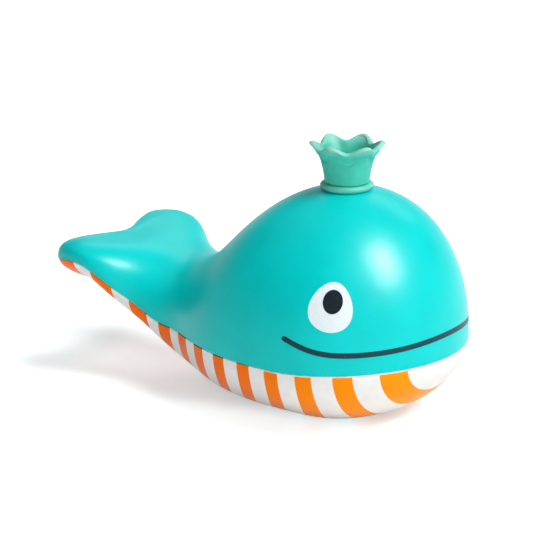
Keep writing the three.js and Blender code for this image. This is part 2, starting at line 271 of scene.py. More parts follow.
def turned(name, profile, sides=96):
    """A solid turned about the upright through the spout, from radius and height pairs."""
    turns = np.linspace(0, 2 * math.pi, sides, endpoint=False)[:, None]
    radius, height = np.array(profile, float).T
    columns = [spout_x + radius * np.cos(turns), radius * np.sin(turns), np.tile(height, (sides, 1))]
    return stitched(name, np.stack(columns, axis=-1), closed=True)


def applied(piece, change):
    """Gives the piece the mesh that its modifier makes, and takes the modifier off."""
    shaped = piece.evaluated_get(bpy.context.evaluated_depsgraph_get())
    mesh = bpy.data.meshes.new_from_object(shaped)
    piece.modifiers.remove(change)
    piece.data = mesh


def combine(piece, tool, operation):
    change = piece.modifiers.new("combine", "BOOLEAN")
    change.operation = operation
    change.solver = "EXACT"
    change.object = tool
    applied(piece, change)
    cleaned(piece.data)
    bpy.data.objects.remove(tool)


def points_of(piece):
    """The points of the piece's mesh in millimetres."""
    flat = np.empty(len(piece.data.vertices) * 3)
    piece.data.vertices.foreach_get("co", flat)
    return flat.reshape(-1, 3) / MM


def marked(piece, name, values):
    """Keeps one number for each point of the piece under that name, for its material or its tree."""
    piece.data.attributes.new(name, "FLOAT", "POINT").data.foreach_set("value", values)


def dressed(piece, material, crease=35):
    """Smooth shading up to the crease angle in degrees, and one material."""
    piece.data.materials.clear()
    piece.data.materials.append(material)
    piece.data.shade_smooth()
    piece.data.set_sharp_from_angle(angle=math.radians(crease))


class Value:
    """A socket in a node tree. Arithmetic on it adds Math nodes, and make adds any other node."""

    def __init__(self, tree, socket):
        self.tree = tree
        self.socket = socket

    @staticmethod
    def make(tree, kind, settings=None, inputs=None, output=0):
        """The output of a new node. A list of links goes into one socket that takes many."""
        node = tree.nodes.new(kind)
        for name, setting in (settings or {}).items():
            setattr(node, name, setting)
        for name, given in (inputs or {}).items():
            for each in reversed(given if isinstance(given, list) else [given]):
                if isinstance(each, Value):
                    tree.links.new(each.socket, node.inputs[name])
                else:
                    node.inputs[name].default_value = each
        return Value(tree, node.outputs[output]) if node.outputs else None

    def also(self, output):
        """Another output of the same node."""
        return Value(self.tree, self.socket.node.outputs[output])

    def math(self, operation, *others):
        return Value.make(self.tree, "ShaderNodeMath", {"operation": operation},
                          dict(enumerate((self, *others))))

    def __add__(self, other):
        return self.math("ADD", other)

    __radd__ = __add__

    def __sub__(self, other):
        return self.math("SUBTRACT", other)

    def __rsub__(self, other):
        return (self * -1) + other

    def __mul__(self, other):
        return self.math("MULTIPLY", other)

    __rmul__ = __mul__

    def __truediv__(self, other):
        return self.math("DIVIDE", other)

    def step(self, start, end):
        """0 below start, 1 above end, smooth between."""
        return Value.make(self.tree, "ShaderNodeMapRange", {"interpolation_type": "SMOOTHSTEP"},
                          {"Value": self, "From Min": start, "From Max": end})

    def between(self, low, high):
        """A mix of two colours, given or linked, by this value. The Mix node's colours are 6 and 7."""
        return Value.make(self.tree, "ShaderNodeMix", {"data_type": "RGBA"},
                          {"Factor": self, 6: low, 7: high}, output=2)


def surface(name, specular):
    """A new material, its Object coordinates and its shader."""
    material = bpy.data.materials.new(name)
    material.use_nodes = True
    tree = material.node_tree
    shader = tree.nodes["Principled BSDF"]
    shader.inputs["Specular IOR Level"].default_value = specular
    return material, Value.make(tree, "ShaderNodeTexCoord", output="Object"), shader


def apart(place, axis="X"):
    return Value.make(place.tree, "ShaderNodeSeparateXYZ", inputs={"Vector": place}, output=axis)


def noise(place, scale, detail=3.0):
    return Value.make(place.tree, "ShaderNodeTexNoise",
                      inputs={"Vector": place, "Scale": scale, "Detail": detail})


def relief(place, grains, depth):
    """Fine moulded grain as a normal: grains to the metre, and their depth in metres."""
    return Value.make(place.tree, "ShaderNodeBump",
                      inputs={"Height": noise(place, grains, 2.0), "Strength": 1.0, "Distance": depth})


def feed(shader, **sockets):
    for name, given in sockets.items():
        given.tree.links.new(given.socket, shader.inputs[name.replace("_", " ")])


whole_ribs, lap_row, seam_row = ribs()
outward = outward_of(whole_ribs)
lip_depth = (wall - lap_clearance) / 2


def under(row, depth):
    return whole_ribs[:, row] - outward[:, row] * depth


def beside_seam(height, depth):
    """Points on the upper side of the seam, that height above it and that depth under the skin."""
    span = (whole_ribs[:, lap_row, 2] - whole_ribs[:, seam_row, 2])[:, None]
    return under(seam_row, depth) + (under(lap_row, depth) - under(seam_row, depth)) * height / span


last_row = whole_ribs.shape[1] - 1
belly_inside = [under(row, wall) for row in range(last_row, seam_row, -inside_stride)]
for line in belly_inside:
    line[:, 2] = np.maximum(line[:, 2], wall)
tongue = [
    under(seam_row, wall),
    beside_seam(lap_height - lap_clearance, wall),
    beside_seam(lap_height - lap_clearance, lip_depth + lap_clearance),
    beside_seam(-seam_gap / 2, lip_depth + lap_clearance),
    beside_seam(-seam_gap / 2, seam_edge),
]
belly_skin = [whole_ribs[:, row] for row in range(seam_row + 1, last_row + 1)]
belly = stitched(
    "belly_shell_moulding", np.stack(belly_inside + tongue + belly_skin, axis=1), closed=False)

port_radius = 7.6
spigot_radius = 9.7
pad_radius = 11.8
pad_draft = 1.2
pad_top = 3.4
spigot_top = 11.4
combine(belly, turned("spigot", [
    (port_radius / 2, wall / 2), (pad_radius + pad_draft, wall / 2), (pad_radius, pad_top),
    (spigot_radius, pad_top), (spigot_radius, spigot_top), (port_radius / 2, spigot_top),
]), "UNION")
combine(belly, turned("port", [
    (0, -wall), (port_radius, -wall), (port_radius, spigot_top + wall), (0, spigot_top + wall),
]), "DIFFERENCE")

places = points_of(belly)
marked(belly, "seam_drop", seam_at(places[:, 0], places[:, 1]) - places[:, 2])

# The stripes' places are in millimetres along the whale, and then in stripes counted from the tail.
stripe_start = -78.0
stripe_pitch = 13.91
stripe_share = 0.46
stripe_count = 12
stripe_blur = 0.006
stripe_lean, nose_lean, lean_depth, lean_power = 11.75, 4.0, 25.0, 2.5
nose_lean_run = 20.0, 70.0
tip_shift, tip_stretch = 4.0, (-78.0, -66.0)
rear_widening, widening_run = 0.12, (0.5, 7.0)
first_edge = -0.1, -0.09
last_edge = stripe_count - 0.02, stripe_count - 0.01
forward_run = 6.5, 8.5
stripe_top, top_blur = 0.55, (-0.02, 0.06)
dark_line_drop, dark_line_blur, dark_line_from = 0.3, 0.06, (2.4, 2.5)
# The stripes' orange is painted lighter and yellower towards the front, a painted light, and deeper and
# redder towards the rear, a painted shade.
painted_light_run = 6.0, 12.5
orange_painted_lit = (1.0, 0.34, 0.001, 1)
orange_painted_shade = (1.0, 0.16, 0.001, 1)
orange_mottle = (0.98, 0.22, 0.001, 1)
dark_line_colour = (0.035, 0.02, 0.012, 1)
mottle_scale, mottle_share, mottle_edges = 900.0, 0.12, (0.35, 0.65)
white_plastic = (0.895, 0.885, 0.86, 1)
white_shade = (0.855, 0.845, 0.82, 1)
white_cloud_scale = 160.0
white_roughness, white_roughness_spread, ink_smoothness = 0.36, 0.1, 0.05
cloud_edges = 0.3, 0.7
mould_grain, mould_depth = 2600.0, 0.00002

white_shell, place, shader = surface("white_shell_striped", specular=0.06)
along = apart(place) / MM
drop = Value.make(place.tree, "ShaderNodeAttribute", {"attribute_name": "seam_drop"}, output="Fac")
sag = (drop.math("MAXIMUM", 0.0) / lean_depth).math("POWER", lean_power)
lean = stripe_lean + (nose_lean - stripe_lean) * along.step(*nose_lean_run)
station = along + lean * sag
count = (station + tip_shift * (1 - station.step(*tip_stretch)) - stripe_start) / stripe_pitch
off_middle = ((count + 0.5 - stripe_share / 2).math("FRACT") - 0.5).math("ABSOLUTE")
half_share = stripe_share / 2 + rear_widening / 2 * (1 - count.step(*widening_run))
in_row = count.step(*first_edge) * (1 - count.step(*last_edge))
in_band = (1 - (off_middle - half_share).step(-stripe_blur, stripe_blur)) * in_row
forward = count.step(*forward_run)
inked = in_band * (drop - stripe_top * forward).step(*top_blur)
# A thin dark line along the top of the rear stripes, just under the seam.
near_seam = (1 - drop.step(dark_line_drop - dark_line_blur, dark_line_drop)) * (1 - forward)
dark_line = in_band * near_seam * count.step(*dark_line_from)
cloud = noise(place, white_cloud_scale)
plastic = cloud.step(*cloud_edges).between(white_shade, white_plastic)
# Painted light on the front stripes and painted shade on the rear ones.
orange = count.step(*painted_light_run).between(orange_painted_shade, orange_painted_lit)
mottle = mottle_share * noise(place, mottle_scale).step(*mottle_edges)
stripes = inked.between(plastic, mottle.between(orange, orange_mottle))
feed(shader, Base_Color=dark_line.between(stripes, dark_line_colour),
     Roughness=white_roughness + white_roughness_spread * cloud - ink_smoothness * inked,
     Normal=relief(place, mould_grain, mould_depth))
dressed(belly, white_shell)
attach(belly, "body")
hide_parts("belly_shell")

# AIR PIPE AND ITS SEALS
# A straight tube of pale plastic stands on the spigot under a flat soft ring, and takes the collar of
# the upper shell through a second ring. It keeps the rest of the body a sealed float.
pipe_pale, pipe_paler = (0.74, 0.79, 0.79, 1), (0.82, 0.85, 0.85, 1)
pipe_cloud_scale, pipe_grain = 220.0, 1800.0
pipe_roughness, pipe_roughness_spread = 0.4, 0.12
seal_black, seal_bloom = (0.035, 0.043, 0.046, 1), (0.06, 0.07, 0.073, 1)
seal_bloom_scale, seal_grain, seal_depth = 500.0, 3000.0, 0.00003
seal_roughness, seal_roughness_spread = 0.7, 0.15

pipe_plastic, place, shader = surface("pipe_plastic", specular=0.4)
cloud = noise(place, pipe_cloud_scale)
feed(shader, Base_Color=cloud.between(pipe_pale, pipe_paler),
     Roughness=pipe_roughness + pipe_roughness_spread * cloud, Normal=relief(place, pipe_grain, mould_depth))
seal_rubber, place, shader = surface("seal_rubber", specular=0.3)
bloom = noise(place, seal_bloom_scale)
feed(shader, Base_Color=bloom.between(seal_black, seal_bloom),
     Roughness=seal_roughness + seal_roughness_spread * bloom, Normal=relief(place, seal_grain, seal_depth))
for node, material in (
    ("air_pipe", pipe_plastic), ("pipe_top_seal", seal_rubber), ("pipe_base_seal", seal_rubber),
):
    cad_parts[node].data.materials.clear()
    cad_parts[node].data.materials.append(material)

# UPPER SHELL
# The teal upper half is one thin-walled moulding in satin plastic, pressed over the belly's tongue and
# joined there for good. The crown sits on a low round pad on its head, over a collar for the air pipe.
seat_height = 92.5
seat_radius = 9.4
seat_round = 0.3
bore_radius = 7.9
collar_radius = 9.7
collar_end = 79.5
boss_radius = 11.8
boss_under = 87.5
inside_skin = 89.2

upper_skin = [whole_ribs[:, row] for row in range(seam_row)]
upper_lip = [
    beside_seam(seam_gap / 2, seam_edge),
    beside_seam(seam_gap / 2, lip_depth),
    under(lap_row, lip_depth),
]
upper_inside = [under(row, wall) for row in range(lap_row, -1, -inside_stride)]
upper = stitched(
    "upper_shell_moulding", np.stack(upper_skin + upper_lip + upper_inside, axis=1), closed=False)
combine(upper, turned("collar", [
    (bore_radius / 2, collar_end), (collar_radius, collar_end), (collar_radius, boss_under),
    (boss_radius, boss_under), (boss_radius, inside_skin), (seat_radius, inside_skin),
    (seat_radius, seat_height - seat_round), (seat_radius - seat_round, seat_height),
    (bore_radius / 2, seat_height),
]), "UNION")
combine(upper, turned("bore", [
    (0, collar_end - wall), (bore_radius, collar_end - wall), (bore_radius, seat_height + wall),
    (0, seat_height + wall),
]), "DIFFERENCE")

teal_plastic = (0.0008, 0.635, 0.62, 1)
teal_shade = (0.0004, 0.6, 0.585, 1)
teal_cloud_scale = 60.0
teal_roughness, teal_roughness_spread = 0.28, 0.08
teal_shell, place, shader = surface("teal_shell_satin", specular=0.16)
cloud = noise(place, teal_cloud_scale)
feed(shader, Base_Color=cloud.step(*cloud_edges).between(teal_shade, teal_plastic),
     Roughness=teal_roughness + teal_roughness_spread * cloud, Normal=relief(place, mould_grain, mould_depth))
dressed(upper, teal_shell)
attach(upper, "body")
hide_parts("upper_shell")

# PRINTED FACE
# The eyes and the smile are ink, pad-printed on the upper shell: a white egg with a dark oval on it on
# each side, and one dark line round the front of the head with round ends.
ink_film = 0.05 * MM
sight_start = 20.0 * MM
shell_skin = BVHTree.FromObject(upper, bpy.context.evaluated_depsgraph_get())


def direction(turn, tilt):
    """The way out at that turn from the nose and that tilt from level."""
    return Vector((math.cos(turn) * math.cos(tilt), math.sin(turn) * math.cos(tilt), math.sin(tilt)))


def on_shell(point, towards):
    """Where a sight line through the point, looking against towards, meets the shell, and its normal."""
    start = Vector(point) * MM + Vector(towards) * sight_start
    hit, _, face, _ = shell_skin.ray_cast(start, -Vector(towards))
    corners = [upper.data.vertices[corner] for corner in upper.data.polygons[face].vertices]
    weights = poly_3d_calc([corner.co for corner in corners], hit)
    normal = sum((corner.normal * share for corner, share in zip(corners, weights)), Vector())
    return hit, normal.normalized()


def print_film(name, sheets, material, lift):
    """A film of ink over grids of (place, normal) pairs, a little proud of the shell and closed below."""
    corners, faces, normals = [], [], []
    for sheet, ring in sheets:
        rows, columns = len(sheet), len(sheet[0])
        first = len(corners)
        under_first = first + rows * columns
        for level in (lift, -ink_film):
            for spot, normal in (pair for row in sheet for pair in row):
                corners.append(spot + normal * level)
                normals.append(normal if level > 0 else -normal)
        grid = np.arange(rows * columns).reshape(rows, columns).tolist()
        for row, below in zip(grid, grid[1:]):
            for column in range(columns if ring else columns - 1):
                beside = (column + 1) % columns
                quad = [row[column], row[beside], below[beside], below[column]]
                faces.append([first + corner for corner in quad])
                faces.append([under_first + corner for corner in reversed(quad)])
        if ring:
            faces.append([first + corner for corner in reversed(grid[0])])
            faces.append([under_first + corner for corner in grid[0]])
            border = grid[-1]
        else:
            left, right = [row[0] for row in grid], [row[-1] for row in grid]
            border = grid[0][::-1] + left[1:] + grid[-1][1:] + right[-2:0:-1]
        for here, after in zip(border, border[1:] + border[:1]):
            faces.append([first + here, first + after, under_first + after, under_first + here])
    mesh = bpy.data.meshes.new(name)
    mesh.from_pydata(corners, [], faces)
    mesh.materials.append(material)
    mesh.shade_smooth()
    mesh.normals_split_custom_set_from_vertices(normals)
    return placed(name, mesh)


eye_middle = Vector((58.08, -42.13, 55.47))
eye_turn, eye_tilt = math.radians(-60.84), math.radians(17.98)
egg_middle, egg_half, egg_taper = (0.07, 0.58), (8.53, 9.86), 0.19
egg_lean = math.radians(-10.2)
pupil_middle, pupil_half = (0.70, 2.59), (3.87, 4.77)
pupil_lean = math.radians(-8.6)
facing = direction(eye_turn, eye_tilt)
sideways = Vector((-math.sin(eye_turn), math.cos(eye_turn), 0))
upwards = facing.cross(sideways)


def egg(middle, half, taper, lean, side, rings=12, around=96):
    """An oval on the shell as rings of points from its middle out, narrower at the top by its taper."""
    sheet = []
    for ring in range(1, rings + 1):
        row = []
        for turn in np.linspace(0, 2 * math.pi, around, endpoint=False):
            size = ring / rings
            across = size * half[0] * math.sin(turn) * (1 - taper * math.cos(turn))
            up = size * half[1] * math.cos(turn)
            right = middle[0] + across * math.cos(lean) - up * math.sin(lean)
            above = middle[1] + across * math.sin(lean) + up * math.cos(lean)
            spot = eye_middle + sideways * right + upwards * above
            row.append(on_shell((spot.x, side * spot.y, spot.z), (facing.x, side * facing.y, facing.z)))
        sheet.append(row if side > 0 else row[::-1])
    return sheet, True


smile_heights = [
    (0, 39.8), (15, 39.35), (30, 38.55), (45, 37.95), (56, 37.65), (63, 37.85), (70, 38.7),
    (77.5, 40.5), (84.4, 42.8)]
smile_fit_power = 5
smile_width = 2.15
smile_sight_radius = 60.0
smile_steps, smile_columns = 120, 7
round_end = [math.radians(angle) for angle in (90, 75, 60, 45, 30, 15)]
round_end_least = 0.03


def smile_line():
    """The smile as cross rows on the shell, from the right corner round the nose to the left one."""
    turns, heights = np.array(smile_heights).T
    fine = np.linspace(0, turns[-1], smile_steps)
    fit = np.polynomial.polynomial.polyfit((turns / turns[-1]) ** 2, heights, smile_fit_power)
    level = np.polynomial.polynomial.polyval((fine / turns[-1]) ** 2, fit)
    middle = []
    for turn, height in [*zip(-fine[::-1], level[::-1]), *zip(fine[1:], level[1:])]:
        away = direction(math.radians(turn), 0)
        out = away * smile_sight_radius
        middle.append(on_shell((spout_x + out.x, out.y, height), away))
    half = smile_width / 2 * MM
    rows = []
    for index, (spot, normal) in enumerate(middle):
        before, after = middle[max(index - 1, 0)][0], middle[min(index + 1, len(middle) - 1)][0]
        forward = (after - before).normalized()
        aside = normal.cross(forward)
        caps = [(0.0, 1.0)]
        if index == 0:
            caps = [(-math.sin(angle), math.cos(angle)) for angle in round_end] + caps
        if index == len(middle) - 1:
            caps = caps + [(math.sin(angle), math.cos(angle)) for angle in reversed(round_end)]
        for ahead, share in caps:
            row = []
            for across in np.linspace(1, -1, smile_columns):
                offset = forward * ahead * half + aside * across * max(share, round_end_least) * half
                row.append(on_shell((spot + offset) / MM, normal))
            rows.append(row)
    return rows, False


ink_cover_scale, ink_cover_edges = 1400.0, (0.3, 0.6)
ink_roughness, ink_roughness_spread, ink_grain_depth = 0.34, 0.1, 0.000015


def face_ink(name, thin, full):
    """Printing ink, of one colour where the film is thin and of another where it is full."""
    material, place, shader = surface(name, specular=0.2)
    cover = noise(place, ink_cover_scale)
    feed(shader, Base_Color=cover.step(*ink_cover_edges).between(thin, full),
         Roughness=ink_roughness + ink_roughness_spread * cover,
         Normal=relief(place, mould_grain, ink_grain_depth))
    return material


eye_ink = face_ink("eye_white_ink", (0.76, 0.85, 0.88, 1), (0.8, 0.89, 0.92, 1))
pupil_ink = face_ink("pupil_dark_ink", (0.008, 0.017, 0.023, 1), (0.005, 0.013, 0.018, 1))
smile_ink = face_ink("smile_dark_ink", (0.003, 0.05, 0.066, 1), (0.002, 0.04, 0.055, 1))
eggs = [egg(egg_middle, egg_half, egg_taper, egg_lean, side) for side in (1, -1)]
ovals = [egg(pupil_middle, pupil_half, 0, pupil_lean, side) for side in (1, -1)]
eyes = print_film("eye_whites", eggs, eye_ink, ink_film)
pupils = print_film("pupils", ovals, pupil_ink, 2 * ink_film)
smile = print_film("smile_line", [smile_line()], smile_ink, ink_film)
for piece in (eyes, pupils, smile):
    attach(piece, "body")

# CROWN SPOUT
# The mint crown is one soft rubbery moulding. Its plug neck pushes into the collar, its round flange
# sits on the pad, and its cup flares into six soft points.
crown_points = 6
crown_turn = math.radians(35)
crown_sides, cup_rows, round_rows = 216, 56, 13
neck_radius, neck_bore, neck_length, neck_chamfer = 7.6, 6.1, 10.0, 0.4
flange_radius, flange_thickness, flange_sink = 10.8, 2.1, 0.6
flange_inset = 0.1
cup_foot, cup_wall, cup_groove = 9.0, 1.9, 0.6
groove_rows = (1.0, 0.1), (0.7, 0.4)
dip_radius, dip_height = 12.5, 16.0
tip_radius, tip_height = 15.2, 18.5
pocket_radius, ledge_height = 7.3, 0.9
foot_height = flange_thickness - flange_sink + cup_groove
dip_rise = dip_height - foot_height - cup_wall / 2
foot_lean, foot_rise, flare_lean, flare_rise = 0.25, 0.33, 0.42, 0.68
lip_swell, swell_from, swell_run = 0.45, 0.78, 0.12
fold_height, fold_climb, fold_depth = 10.1, 1.1, 0.42
fold_turns_from, fold_turns_run = 0.74, 0.13
fold_rise, fold_fade = (-0.4, 0.5), (0.25, 0.8)
inner_first_row = 4


def crown_profile():
    """The crown's section at a dip: radius, height, and its shares of the spread, the lift and the fold."""
    bead = flange_thickness / 2
    plain = [
        (neck_bore, -neck_length), (neck_radius - neck_chamfer, -neck_length),
        (neck_radius, neck_chamfer - neck_length), (neck_radius, 0), (flange_radius - bead - flange_inset, 0)]
    for angle in np.linspace(-math.pi / 2, math.pi / 2, round_rows):
        plain.append((
            flange_radius - bead + bead * math.cos(angle), bead - flange_sink + bead * math.sin(angle)))
    for share, rise in groove_rows:
        plain.append((cup_foot - cup_groove * share, foot_height - cup_groove + rise))
    section = [(*spot, 0, 0, 0) for spot in plain]
    t = np.linspace(0, 1, cup_rows + 1)
    lean = dip_radius - lip_swell - cup_foot
    cup = bend(
        (cup_foot, foot_height), (cup_foot + lean * foot_lean, foot_height + dip_rise * foot_rise),
        (cup_foot + lean * flare_lean, foot_height + dip_rise * flare_rise),
        (cup_foot + lean, foot_height + dip_rise), cup_rows)
    swell = lip_swell * smooth((t - swell_from) / swell_run)
    lift = 3 * (1 - t) ** 2 * t * foot_rise + 3 * (1 - t) * t**2 * flare_rise + t**3
    for (radius, height), out, share, up in zip(cup, swell, t, lift):
        fold = 1 - 2 * smooth((share - fold_turns_from) / fold_turns_run)
        section.append((radius + out, height, share**3, up, fold))
    rim = (cup_wall + lip_swell) / 2
    for angle in np.linspace(0, math.pi, round_rows)[1:-1]:
        over = foot_height + dip_rise + cup_wall / 2 * math.sin(angle)
        fold = -(1 + math.cos(angle)) / 2
        section.append((dip_radius - rim * (1 - math.cos(angle)), over, 1, 1, fold))
    for (radius, height), share, up in reversed(list(zip(cup, t, lift))[inner_first_row:]):
        section.append((radius - cup_wall, height, share**3, up, 0))
    floor = (pocket_radius, foot_height), (pocket_radius, ledge_height), (neck_bore, ledge_height)
    return np.array(section + [(*spot, 0, 0, 0) for spot in floor])


def started_tree(name, inputs):
    """A new geometry tree, the identifiers of its named inputs, and their values inside it."""
    tree = bpy.data.node_groups.new(name, "GeometryNodeTree")
    sockets = {}
    for label, kind in inputs.items():
        made = tree.interface.new_socket(label, in_out="INPUT", socket_type=f"NodeSocket{kind}")
        sockets[label] = made.identifier
    tree.interface.new_socket("Geometry", in_out="OUTPUT", socket_type="NodeSocketGeometry")
    given = Value.make(tree, "NodeGroupInput")
    return tree, sockets, {label: given.also(label) for label in sockets}


def ended_tree(shape, material):
    """Ends the shape's tree: instances made real, one material, and out."""
    tree = shape.tree
    real = Value.make(tree, "GeometryNodeRealizeInstances", inputs={"Geometry": shape})
    coated = Value.make(tree, "GeometryNodeSetMaterial", inputs={"Geometry": real, "Material": material})
    Value.make(tree, "NodeGroupOutput", inputs={"Geometry": coated})


def crown_tree():
    """Geometry nodes that draw a turned cup's rim out and up into points, as a soft wave round it."""
    tree, sockets, entry = started_tree("crown_points", {
        "Geometry": "Geometry", "Points": "Float", "First Point": "Float", "Spread": "Float",
        "Lift": "Float", "Axis X": "Float", "Fold Height": "Float", "Fold Climb": "Float",
        "Fold Depth": "Float", "Material": "Material"})
    share = {
        name: Value.make(tree, "GeometryNodeInputNamedAttribute", {"data_type": "FLOAT"}, {"Name": name})
        for name in ("spread_share", "lift_share", "fold_share")}
    spot = apart(Value.make(tree, "GeometryNodeInputPosition"))
    turn = spot.also("Y").math("ARCTAN2", spot - entry["Axis X"])
    wave = ((turn - entry["First Point"]) * entry["Points"]).math("COSINE") * 0.5 + 0.5
    over_fold = (spot.also("Z") - entry["Fold Height"] - wave * entry["Fold Climb"]) / MM
    fold = over_fold.step(*fold_rise) * (1 - wave.step(*fold_fade)) * share["fold_share"]
    outwards = wave * entry["Spread"] * share["spread_share"] - fold * entry["Fold Depth"]
    move = Value.make(tree, "ShaderNodeCombineXYZ", inputs={
        "X": turn.math("COSINE") * outwards, "Y": turn.math("SINE") * outwards,
        "Z": wave * entry["Lift"] * share["lift_share"]})
    drawn = Value.make(tree, "GeometryNodeSetPosition", inputs={
        "Geometry": entry["Geometry"], "Offset": move})
    ended_tree(drawn, entry["Material"])
    return tree, sockets


def grown(piece, tree, sockets, values):
    """Gives the piece the mesh that the tree makes with those inputs."""
    change = piece.modifiers.new("grown", "NODES")
    change.node_group = tree
    for name, given in values.items():
        change[sockets[name]] = given
    applied(piece, change)


mint_rubber = (0.075, 0.595, 0.465, 1)
mint_shade = (0.05, 0.53, 0.4, 1)
mint_cloud_scale = 130.0
mint_roughness, mint_roughness_spread = 0.48, 0.12
mint_grain, mint_depth = 2200.0, 0.00003
# The crown's points are painted paler towards their tips, a painted sheen, and the flange's bead is painted
# paler, a painted highlight.
painted_sheen_mint, sheen_from = (0.34, 0.64, 0.54, 1), 14.0
point_painted_sheen, flange_painted_highlight = 0.8, 0.25
flange_top = seat_height + flange_thickness - flange_sink
flange_highlight_edges = flange_top - 0.1, flange_top + 0.2
mint_crown, place, shader = surface("mint_crown_rubber", specular=0.2)
cloud = noise(place, mint_cloud_scale)
height = apart(place, "Z") / MM
# Painted sheen up the points and painted highlight on the flange's bead.
thin = point_painted_sheen * height.step(seat_height + sheen_from, seat_height + tip_height)
thin = thin + flange_painted_highlight * (1 - height.step(*flange_highlight_edges))
mint = cloud.step(*cloud_edges).between(mint_shade, mint_rubber)
feed(shader, Base_Color=thin.between(mint, painted_sheen_mint),
     Roughness=mint_roughness + mint_roughness_spread * cloud, Normal=relief(place, mint_grain, mint_depth))

section = crown_profile()
crown = turned("crown_spout_soft", section[:, :2] + (0, seat_height), crown_sides)
places = points_of(crown)
off_axis = np.hypot(places[:, 0] - spout_x, places[:, 1])[:, None]
over_seat = places[:, 2:] - seat_height
nearest = np.hypot(off_axis - section[:, 0], over_seat - section[:, 1]).argmin(axis=1)
for name, column in (("spread_share", 2), ("lift_share", 3), ("fold_share", 4)):
    marked(crown, name, section[nearest, column])
grown(crown, *crown_tree(), {
    "Points": float(crown_points), "First Point": crown_turn, "Axis X": spout_x * MM,
    "Spread": (tip_radius - dip_radius) * MM, "Lift": (tip_height - dip_height) * MM,
    "Fold Height": (seat_height + fold_height) * MM, "Fold Climb": fold_climb * MM,
    "Fold Depth": fold_depth * MM, "Material": mint_crown})
dressed(crown, mint_crown, crease=40)
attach(crown, "spout")
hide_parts("crown_spout")

# BUBBLE SCREEN
# A pale plastic disc is pressed on to the ledge in the floor of the crown. Its nineteen countersunk
# holes split the air into bubbles.
screen_radius, screen_thickness, screen_sides = 7.0, 1.6, 96
hole_radius, hole_pitch, hole_sides = 0.8, 2.5, 24
holes_in_ring = 6, 12
countersink, flare_overcut = 0.35, 1.15
drill_thicknesses = 3.0


def screen_tree():
    """Geometry nodes for a disc with a hole in its middle and rings of holes round it."""
    tree, sockets, entry = started_tree("bubble_screen", {
        "Geometry": "Geometry", "Radius": "Float", "Thickness": "Float", "Hole Radius": "Float",
        "Hole Pitch": "Float", "Countersink": "Float", "Place": "Vector", "Material": "Material"})
    disc = Value.make(tree, "GeometryNodeMeshCylinder", inputs={
        "Vertices": screen_sides, "Radius": entry["Radius"], "Depth": entry["Thickness"]})
    drill = Value.make(tree, "GeometryNodeMeshCylinder", inputs={
        "Vertices": hole_sides, "Side Segments": 2, "Radius": entry["Hole Radius"],
        "Depth": entry["Thickness"] * drill_thicknesses})
    corner = Value.make(tree, "GeometryNodeInputPosition")
    high = (apart(corner, "Z") / entry["Thickness"]).math("GREATER_THAN", 1.0)
    flare = entry["Countersink"] * flare_overcut
    wider = apart(Value.make(tree, "ShaderNodeVectorMath", {"operation": "SCALE"}, {
        0: corner, "Scale": flare / entry["Hole Radius"]}))
    sunk = Value.make(tree, "ShaderNodeCombineXYZ", inputs={
        "X": wider, "Y": wider.also("Y"), "Z": flare - entry["Thickness"] * (drill_thicknesses / 2)})
    mouth = Value.make(tree, "GeometryNodeSetPosition", inputs={
        "Geometry": drill, "Selection": high, "Offset": sunk})
    under_top = Value.make(tree, "ShaderNodeCombineXYZ", inputs={
        "Z": entry["Thickness"] * 0.5 - entry["Countersink"]})
    cutter = Value.make(tree, "GeometryNodeTransform", inputs={"Geometry": mouth, "Translation": under_top})
    spots = [Value.make(tree, "GeometryNodeMeshLine", inputs={"Count": 1})]
    for ring, holes in enumerate(holes_in_ring, 1):
        spots.append(Value.make(tree, "GeometryNodeMeshCircle", inputs={
            "Vertices": holes, "Radius": entry["Hole Pitch"] * ring}))
    spots = Value.make(tree, "GeometryNodeJoinGeometry", inputs={"Geometry": spots})
    drills = Value.make(tree, "GeometryNodeInstanceOnPoints", inputs={"Points": spots, "Instance": cutter})
    drills = Value.make(tree, "GeometryNodeRealizeInstances", inputs={"Geometry": drills})
    pierced = Value.make(tree, "GeometryNodeMeshBoolean", {"operation": "DIFFERENCE", "solver": "EXACT"}, {
        "Mesh 1": disc, "Mesh 2": drills})
    seated = Value.make(tree, "GeometryNodeTransform", inputs={
        "Geometry": pierced, "Translation": entry["Place"]})
    ended_tree(seated, entry["Material"])
    return tree, sockets


screen_pale, screen_paler = (0.68, 0.76, 0.74, 1), (0.76, 0.82, 0.8, 1)
screen_cloud_scale = 400.0
screen_roughness, screen_roughness_spread = 0.42, 0.12
screen_plastic, place, shader = surface("screen_plastic", specular=0.4)
cloud = noise(place, screen_cloud_scale)
feed(shader, Base_Color=cloud.between(screen_pale, screen_paler),
     Roughness=screen_roughness + screen_roughness_spread * cloud,
     Normal=relief(place, mould_grain, mould_depth))

screen = placed("bubble_screen_disc", bpy.data.meshes.new("bubble_screen_disc"))
screen_middle = seat_height + ledge_height + screen_thickness / 2
grown(screen, *screen_tree(), {
    "Radius": screen_radius * MM, "Thickness": screen_thickness * MM, "Hole Radius": hole_radius * MM,
    "Hole Pitch": hole_pitch * MM, "Countersink": countersink * MM,
    "Place": (spout_x * MM, 0.0, screen_middle * MM), "Material": screen_plastic})
cleaned(screen.data)
dressed(screen, screen_plastic, crease=30)
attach(screen, "spout")
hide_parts("bubble_screen")

# STUDIO
# A white floor turns up into a low wall all round, in a dim room with five soft lamp panels. The camera
# stands where the photograph was taken from, and sizes here are in metres.
scene = bpy.context.scene
scene.view_settings.view_transform = "Standard"

room_light = 0.04
room = bpy.data.worlds.new("dim_room")
scene.world = room
room.use_nodes = True
room.node_tree.nodes["Background"].inputs["Color"].default_value = (1, 1, 1, 1)
room.node_tree.nodes["Background"].inputs["Strength"].default_value = room_light

